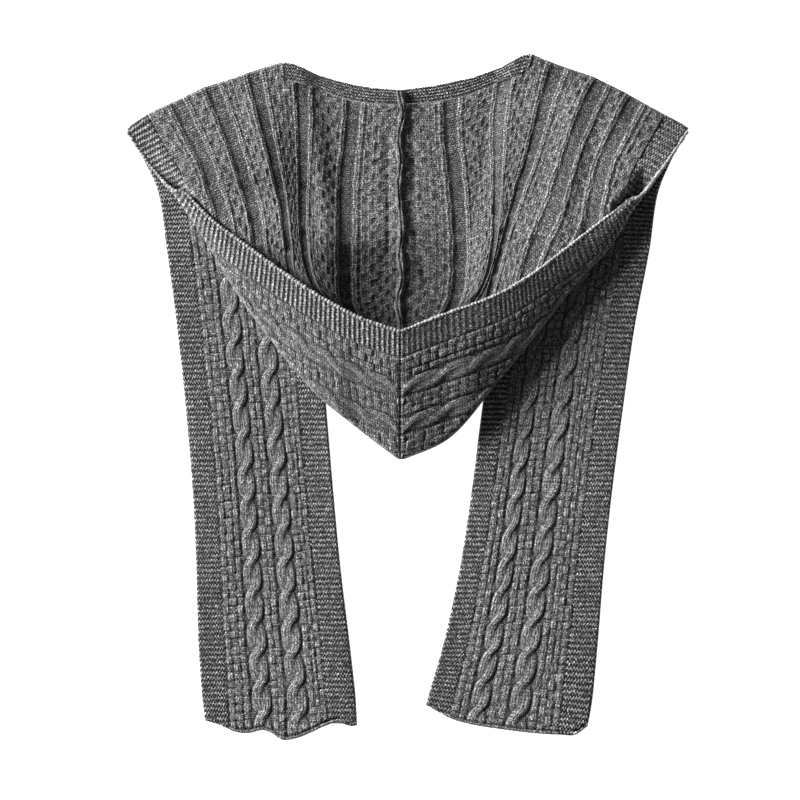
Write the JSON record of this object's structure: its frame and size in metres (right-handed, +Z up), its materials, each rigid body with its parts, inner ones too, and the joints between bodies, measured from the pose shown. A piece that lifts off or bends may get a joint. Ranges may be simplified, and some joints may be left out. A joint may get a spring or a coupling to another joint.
{
  "type": "hooded scarf",
  "caption": "Chunky cable-knit scarf with a sewn-in hood, laid flat on its back: two long tails below, the hood's front folded up into an open pouch over them.",
  "frame": {"origin": "middle of the laid garment's outline, on the surface it lies on", "axes": "+X to the right across the garment, +Y from the hems to the neck, +Z up from the surface"},
  "size_m": [0.591, 0.7192, 0.0463],
  "materials": {
    "cable_knit": "marled grey wool-blend knit, rope cables between basket stitch",
    "garter_band": "the same yarn in garter stitch",
    "seam_yarn": "the same yarn, sewn and puckered"
  },
  "bodies": {
    "root": {"hood_left": "cable_knit", "hood_right": "cable_knit", "neck_band_left": "garter_band", "neck_band_right": "garter_band", "rim_band_left": "garter_band", "rim_band_right": "garter_band", "seam_welt": "seam_yarn", "tail_left": "cable_knit", "tail_right": "cable_knit"}
  },
  "joints": []
}
